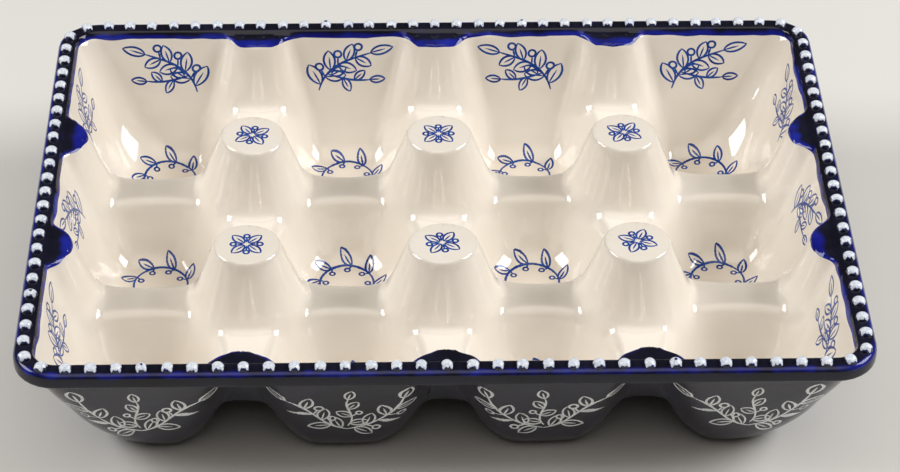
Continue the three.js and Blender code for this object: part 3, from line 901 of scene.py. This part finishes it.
def bead_path_at(distance, straight):
    """Place along a side, way in from it and heading, from the middle of one corner to the next."""
    past = min(distance - HALF_CORNER, 0) + max(distance - HALF_CORNER - straight, 0)
    heading = past / BEAD_PATH_RADIUS
    along = np.clip(distance - HALF_CORNER, 0, straight) - straight / 2
    along += BEAD_PATH_RADIUS * math.sin(heading)
    return along, BEAD_PATH_RADIUS * (1 - math.cos(heading)), heading


def bead_dome(random):
    """One bead at the origin: points, faces and each point's way above the edge of its white paint and
    painted highlights.
    """
    length = BEAD_LENGTH * random.uniform(*BEAD_SPREAD)
    width = BEAD_WIDTH * random.uniform(*BEAD_SPREAD)
    height = BEAD_HEIGHT * random.uniform(*BEAD_HEIGHT_SPREAD)
    lean = random.uniform(-BEAD_LEAN, BEAD_LEAN, 2)
    pitted = random.uniform() < BEAD_PIT_SHARE
    turns = np.linspace(0, 2 * math.pi, BEAD_SIDES, endpoint=False)
    rises = np.maximum(np.arange(BEAD_RINGS + 1) - 1, 0)[:, None] / BEAD_RINGS * math.pi / 2
    flat = np.cos(rises)[..., None] ** BEAD_SQUATNESS * heading_of(turns)
    z = np.broadcast_to(height * np.sin(rises), flat.shape[:2]).copy()
    z[0] = -BEAD_ROOT
    # Painted highlights: the white runs down each bead at a few places round it, standing in for the
    # lamps' glints.
    painted_highlights = BEAD_HIGHLIGHT_REACH * np.maximum(-np.cos(BEAD_HIGHLIGHT_COUNT * turns), 0)
    paint_and_highlight = z / height + flat @ lean + painted_highlights - BEAD_PAINT_EDGE
    if pitted:
        paint_and_highlight[-1] = PIT_EDGE_PAINT
    points = np.dstack([flat * (length / 2, width / 2), z]).reshape(-1, 3)
    top_paint = PIT_PAINT if pitted else 1 - BEAD_PAINT_EDGE

    faces = [list(range(BEAD_SIDES))[::-1]]
    last = BEAD_RINGS * BEAD_SIDES
    for i in range(BEAD_SIDES):
        j = (i + 1) % BEAD_SIDES
        for low in range(0, last, BEAD_SIDES):
            high = low + BEAD_SIDES
            faces.append([low + i, low + j, high + j, high + i])
        faces.append([last + i, last + j, len(points)])
    return np.vstack([points, (0, 0, height)]), faces, [*paint_and_highlight.ravel(), top_paint]


def build_bead_course(side, turn, reach, half, material, random):
    """One side's beads, laid along X and then turned to their side."""
    straight = 2 * (half - BEAD_PATH_RADIUS)
    run = straight + 2 * HALF_CORNER
    count = round(run / BEAD_PITCH)
    points, faces, paint_and_highlight = [], [], []
    spin = np.array(Matrix.Rotation(turn, 3, "Z"))
    for bead in range(count):
        along, inward, heading = bead_path_at((bead + 0.5) * run / count, straight)
        dome, dome_faces, dome_paint_and_highlight = bead_dome(random)
        twisted = heading + random.uniform(-BEAD_TWIST, BEAD_TWIST)
        twist = np.array(Matrix.Rotation(twisted, 3, "Z"))
        along += random.uniform(-BEAD_STRAY, BEAD_STRAY)
        spot = np.array([along, inward - reach, SEAT_Z + GLAZE])
        first = len(paint_and_highlight)
        points.append((dome @ twist.T + spot) @ spin.T)
        faces.extend([[first + corner for corner in face] for face in dome_faces])
        paint_and_highlight.extend(dome_paint_and_highlight)
    piece = make_piece(f"beads_{side}", np.concatenate(points), faces, [material], {"paint_and_highlight": paint_and_highlight})
    place_piece(piece, "bead_enamel", f"bead_course_{side}")


def build_beads():
    random = np.random.default_rng(SEED)
    material = bead_enamel()
    for quarter, side in enumerate(("front", "right", "back", "left")):
        half, reach = np.roll(BEAD_PATH, quarter)
        build_bead_course(side, quarter * math.pi / 2, reach, half, material, random)


# Printed sprigs: strokes drawn on a flat plane, each a line of points with its width at each

LINE = 1.12
LEAF_STEPS = 7
STEM_STEPS = 18
BERRY_STEPS = 12

# Widths of some strokes as shares of a line
STEM_LINE = 1.1
STALK_LINE = 0.9
RIB_LINE = 0.8
OUTSIDE_LINE = 0.85

# A leaf: how full it is, where its edges bend and how far its rib goes, as shares of its length
LEAF_FULLNESS = 0.7
LEAF_BENDS = (0.25, 0.7)
RIB_SHARES = (0.2, 0.45, 0.68)
FILLED_LEAST = 0.08
FILLED_BELLY = 0.85
FILLED_POINT = 1.2

# A branch: where its leaves start and how far they go, their angle, and sizes as shares of a leaf
FIRST_LEAF = 0.1
LEAF_RUN = 0.82
LEAF_ANGLE = 0.85
LEAF_SHRINK = 0.3
BERRY_ANGLE = 1.0
BERRY_STALK = 0.34
BERRY_RADIUS = 0.15
TIP_LENGTH = 0.8
TIP_BREADTH = 0.75


def curve(a, b, c, d, steps):
    """A cubic curve from a to d."""
    t = np.linspace(0, 1, steps + 1)[:, None]
    a, b, c, d = (np.asarray(point, float) for point in (a, b, c, d))
    return (1 - t) ** 3 * a + 3 * (1 - t) ** 2 * t * b + 3 * (1 - t) * t**2 * c + t**3 * d


def pen(points, width=LINE, ends=0.5):
    """A pen stroke, fuller in its middle than at its ends."""
    t = np.linspace(0, 1, len(points))
    return points, width * (ends + (1 - ends) * np.sqrt(np.sin(math.pi * t)))


def leaf(base, angle, length, breadth, filled=False):
    """A pointed leaf with its midrib, or one that is filled in."""
    base = np.asarray(base, float)
    ahead = heading_of(angle) * length
    side = heading_of(angle + math.pi / 2) * breadth * LEAF_FULLNESS
    if filled:
        t = np.linspace(0, 1, LEAF_STEPS + 1)
        points = base + ahead * t[:, None]
        bulge = np.sin(math.pi * t**FILLED_BELLY) ** FILLED_POINT
        return [(points, FILLED_LEAST + breadth * bulge)]
    strokes = []
    for way in (1, -1):
        bends = [base + ahead * share + way * side for share in LEAF_BENDS]
        strokes.append(pen(curve(base, *bends, base + ahead, LEAF_STEPS)))
    rib = curve(base, *(base + ahead * share for share in RIB_SHARES), LEAF_STEPS // 2)
    strokes.append(pen(rib, LINE * RIB_LINE, ends=0.3))
    return strokes


def berry(base, angle, stalk, radius):
    """A round berry on a short stalk."""
    base = np.asarray(base, float)
    tip = base + heading_of(angle) * stalk
    hub = tip + heading_of(angle) * radius
    turns = np.linspace(0, 2 * math.pi, BERRY_STEPS + 1) + angle + math.pi
    ring = hub + radius * heading_of(turns)
    stalk_line = curve(base, base + (tip - base) * 0.3, base + (tip - base) * 0.7, tip, LEAF_STEPS // 2)
    return [pen(stalk_line, LINE * STALK_LINE), (ring, np.full(len(ring), LINE))]


def along_curve(points, share):
    """Place and angle of a curve at a share of its length."""
    steps = np.linalg.norm(np.diff(points, axis=0), axis=1)
    length = np.concatenate([[0], np.cumsum(steps)])
    at = share * length[-1]
    place = np.array([np.interp(at, length, line) for line in points.T])
    i = min(np.searchsorted(length, at, side="right"), len(points) - 1)
    ahead = points[i] - points[i - 1]
    return place, math.atan2(ahead[1], ahead[0])


def leafy_branch(stem, leaves, length, breadth, berries=True, filled_every=0):
    """A branch with leaves on alternate sides, berries across from them and a leaf at its tip."""
    strokes = [pen(stem, LINE * STEM_LINE)]
    for i in range(leaves):
        share = FIRST_LEAF + LEAF_RUN * i / leaves
        place, angle = along_curve(stem, share)
        way = 1 if i % 2 == 0 else -1
        size = 1.0 - LEAF_SHRINK * share
        filled = filled_every and i % filled_every == filled_every - 1
        strokes += leaf(place, angle + way * LEAF_ANGLE, length * size, breadth * size, filled)
        if berries and i % 2 == 1:
            stalk, radius = length * BERRY_STALK, length * BERRY_RADIUS
            strokes += berry(place, angle - way * BERRY_ANGLE, stalk, radius)
    place, angle = along_curve(stem, 1.0)
    return strokes + leaf(place, angle, length * TIP_LENGTH, breadth * TIP_BREADTH)


def flipped(strokes, mirrored, line=1.0):
    """A design as drawn or mirrored, with its lines made wider or narrower."""
    way = -1 if mirrored else 1
    return [(points * (way, 1), line * widths) for points, widths in strokes]


def wall_sprig(mirrored):
    """A leaning branch and a shorter one that leaves it."""
    stem = curve((-10.8, -9.2), (-7, 1), (1, 2.2), (8, 5), STEM_STEPS)
    twig = curve((-7.1, -3), (-1, -5.2), (3.5, -5.8), (8.6, -5.2), STEM_STEPS // 2)
    strokes = leafy_branch(stem, leaves=6, length=8.4, breadth=4.1)
    strokes += leafy_branch(twig, leaves=3, length=6.4, breadth=3.2, berries=False)
    return flipped(strokes, mirrored)


def floor_wreath():
    """A ring of leaves with a berry between each pair."""
    radius = 9.5
    count = 8
    turns = np.linspace(0, 2 * math.pi, 4 * count + 1)
    ring = radius * heading_of(turns)
    strokes = [(ring, np.full(len(ring), LINE))]
    for i in range(count):
        angle = 2 * math.pi * i / count
        base = radius * heading_of(angle)
        strokes += leaf(base, angle + 0.9, length=6.0, breadth=2.7)
        strokes += berry(base, angle + math.pi - 0.5, stalk=1.6, radius=0.9)
    return strokes


def top_rosette():
    """Four leaves and four berries round one point."""
    hub = 0.9
    strokes = []
    for quarter in range(4):
        angle = quarter * math.pi / 2 + math.pi / 4
        strokes += leaf(hub * heading_of(angle), angle, length=6.0, breadth=3.0)
        between = angle + math.pi / 4
        strokes += berry(hub * heading_of(between), between, stalk=2.6, radius=0.95)
    return strokes


def outside_garland(mirrored):
    """A spray on one cup's outside: two long branches that part low down, and one between them."""
    left = curve((-1, -12), (-9, -10), (-14.5, -6), (-15.5, 7), STEM_STEPS)
    right = curve((-1, -12), (9, -10.5), (9.5, 1), (15.5, 6.5), STEM_STEPS)
    middle = curve((-1, -10), (-5, -4), (1, 1), (-1, 6.5), STEM_STEPS // 2)
    strokes = leafy_branch(left, leaves=5, length=8.2, breadth=4.0, filled_every=3)
    strokes += leafy_branch(right, leaves=5, length=8.4, breadth=4.0, filled_every=4)
    strokes += leafy_branch(middle, leaves=3, length=6.6, breadth=3.6)
    return flipped(strokes, mirrored, OUTSIDE_LINE)


# Laying the print on the glaze

PRINT_RISE = 0.07
PRINT_SINK = 0.03
INK_SPREAD = (0.2, 0.8)
WALL_REACH = 28.0
WALL_FAR = 60.0


def on_wall(centre, facing, level, outside):
    """Lays flat points on one wall of a cup, level with `level`, as seen from the side that shows."""
    depth = WALL if outside else 0.0
    away = -1 if outside else 1

    def lay(flat):
        angle = facing - away * flat[..., 0] / WALL_REACH
        z = level + flat[..., 1] * math.cos(CUP_LEAN)
        heading = heading_of(angle)
        start = np.broadcast_to(centre, heading.shape)
        reach = reach_at_level(start, heading, WALL_FAR, z, depth)
        spot = start + heading * reach[..., None]
        normal = away * shell_normal(spot[..., 0], spot[..., 1], depth)
        coat = GLAZE if outside else 0.0
        return np.concatenate([spot, z[..., None]], axis=-1) + normal * coat, normal

    return lay


def on_level(centre, turn):
    """Lays flat points on a floor or a pedestal's top."""

    def lay(flat):
        spot = flat @ rotation(turn).T + centre
        x, y = spot[..., 0], spot[..., 1]
        return np.stack([x, y, shell_height(x, y)], axis=-1), shell_normal(x, y)

    return lay


def ribbon(points, widths):
    """Left edge, crest and right edge of a stroke."""
    ahead = unit(np.gradient(points, axis=0))
    side = np.column_stack([-ahead[:, 1], ahead[:, 0]]) * widths[:, None] / 2
    return np.stack([points + side, points, points - side], axis=1)


def ribbon_faces(count, first):
    """Faces of a closed three-sided strip."""
    faces = [[first, first + 1, first + 2]]
    for i in range(count - 1):
        left, crest, right = (first + 3 * i + k for k in range(3))
        faces.append([crest, crest + 3, left + 3, left])
        faces.append([right, right + 3, crest + 3, crest])
        faces.append([left, left + 3, right + 3, right])
    last = first + 3 * (count - 1)
    return [*faces, [last + 2, last + 1, last]]


def build_print(name, slot, material, designs):
    """One piece that holds all the strokes of some designs, each with the way it is laid."""
    random = np.random.default_rng(SEED)
    lift = np.array([-PRINT_SINK, PRINT_RISE, -PRINT_SINK])[None, :, None]
    points, normals, faces, ink = [], [], [], []
    first = 0
    for lay, strokes in designs:
        placed, normal = lay(np.concatenate([ribbon(line, widths) for line, widths in strokes]))
        points.append((placed + normal * lift).reshape(-1, 3))
        normals.append(normal.reshape(-1, 3))
        for line, _ in strokes:
            faces.extend(ribbon_faces(len(line), first))
            ink.append(np.full(3 * len(line), random.uniform(*INK_SPREAD)))
            first += 3 * len(line)
    points, normals, ink = (np.concatenate(parts) for parts in (points, normals, ink))
    piece = make_piece(name, points, faces, [material], {"ink": ink}, normals=normals)
    place_piece(piece, slot)


# Where the designs lie below the pedestal tops and on the floors, and their turn from cup to cup
INSIDE_PRINT_LEVEL = LAND_Z - 11.1
OUTSIDE_PRINT_LEVEL = LAND_Z - 21.6
FLOOR_PRINT_SET_BACK = np.array([0.0, 3.0])
WREATH_TURN = 0.3
ROSETTE_TURN = 0.2


def wall_places():
    """Each cup wall at the tray's edge: the cup's centre, the way the wall faces and its number."""
    for column in range(COLUMNS):
        yield cup_centre(column, 0), -math.pi / 2, column
        yield cup_centre(column, ROWS - 1), math.pi / 2, column + 1
    for row in range(ROWS):
        yield cup_centre(0, row), math.pi, row
        yield cup_centre(COLUMNS - 1, row), 0.0, row + 1


def build_prints():
    inside, outside = [], []
    for centre, facing, number in wall_places():
        mirrored = number % 2 == 1
        inside.append((on_wall(centre, facing, INSIDE_PRINT_LEVEL, False), wall_sprig(mirrored)))
        outside.append((on_wall(centre, facing, OUTSIDE_PRINT_LEVEL, True), outside_garland(mirrored)))
    for column in range(COLUMNS):
        for row in range(ROWS):
            place = cup_centre(column, row) + FLOOR_PRINT_SET_BACK
            inside.append((on_level(place, WREATH_TURN * (column + row)), floor_wreath()))
    for column in range(COLUMNS - 1):
        for row in range(ROWS - 1):
            place = cup_centre(column + 0.5, row + 0.5)
            inside.append((on_level(place, ROSETTE_TURN * (column - row)), top_rosette()))
    blue = print_ink("blue_print", BLUE_INK, BLUE_INK_ROUGHNESS, 500, 0.25, gloss_scale=24)
    white = print_ink("white_print", WHITE_INK, WHITE_INK_ROUGHNESS, 650, 0.3, gloss_scale=45)
    build_print("print_inside", "rim_glaze", blue, inside)
    build_print("print_outside", "bead_enamel", white, outside)


# Stage, light and camera: the floor's sizes are in millimetres, the lamps' in metres

FLOOR_HALF = 3000.0
FLOOR_DROP = 0.1
FLOOR_ROUGHNESS = 0.9
FLOOR_GREY = ((0.68, 0.665, 0.635), (0.70, 0.685, 0.655))
WORLD_COLOUR = (0.64, 0.61, 0.57)
WORLD_STRENGTH = 0.08
FRONT_STRENGTH = 2.5
BRIGHTEST = (0, -0.4, 0.917)
BRIGHT_EDGE = 0.8
LAMP_SIZE = (0.9, 0.6)
LAMP_TARGET = Vector((0, 0, 0.03))
LAMPS = (
    ("softbox_left", Vector((-1.2, 0.05, 0.95)), 14.0),
    ("softbox_right", Vector((1.2, 0.05, 0.95)), 18.5),
)


def build_floor():
    finish = Finish("studio_floor")
    finish.surface(finish.mix(finish.cloud(scale=3), *FLOOR_GREY), FLOOR_ROUGHNESS)
    flat = FLOOR_HALF * np.array([(-1, -1), (1, -1), (1, 1), (-1, 1)])
    corners = np.column_stack([flat, np.full(len(flat), -FLOOR_DROP)])
    floor = make_piece("studio_floor", corners, [(0, 1, 2, 3)], [finish.material])


def add_softbox(name, place, power):
    """A rectangular lamp that looks at the tray's middle."""
    lamp = bpy.data.lights.new(name, "AREA")
    lamp.shape = "RECTANGLE"
    lamp.size, lamp.size_y = LAMP_SIZE
    lamp.energy = power
    holder = add_object(name, lamp)
    holder.location = place
    holder.rotation_euler = (LAMP_TARGET - place).to_track_quat("-Z", "Y").to_euler()


def build_light():
    """A room that is brightest high in front, and a softbox on either side."""
    world = bpy.data.worlds.new("studio")
    world.use_nodes = True
    tree = world.node_tree
    heading = add_node(tree, "TexCoord", "Generated")
    toward = add_node(tree, "VectorMath", "Value", {0: heading, 1: BRIGHTEST}, operation="DOT_PRODUCT")
    strength = add_ramp(tree, toward, BRIGHT_EDGE, 1.0, WORLD_STRENGTH, FRONT_STRENGTH)
    feed(tree.nodes["Background"], {"Color": (*WORLD_COLOUR, 1), "Strength": strength})
    bpy.context.scene.world = world
    for name, place, power in LAMPS:
        add_softbox(name, place, power)


# The camera stands where the photograph was taken from, as fitted to the beads at this level.
LENS = 119.2
SENSOR = 36.0
CAMERA_YAW = math.radians(1.64)
CAMERA_TILT = math.radians(36.54)
CAMERA_ROLL = math.radians(-0.49)
BEAD_LEVEL = SEAT_Z + 1.7
CAMERA_SHIFT = Vector((-3.27, 19.54, -1021.72))


def build_camera():
    data = bpy.data.cameras.new("camera")
    data.sensor_width = SENSOR
    data.lens = LENS
    camera = add_object("camera", data)
    tilt = Matrix.Rotation(CAMERA_TILT - math.pi / 2, 3, "X")
    turn = Matrix.Rotation(CAMERA_ROLL, 3, "Z") @ tilt @ Matrix.Rotation(CAMERA_YAW, 3, "Z")
    place = Vector((0, 0, BEAD_LEVEL)) - turn.transposed() @ CAMERA_SHIFT
    camera.matrix_world = Matrix.Translation(place * MM) @ turn.transposed().to_4x4()
    bpy.context.scene.camera = camera


bpy.context.scene.view_settings.view_transform = "Standard"
build_camera()
build_tray()
build_beads()
build_prints()
build_floor()
build_light()
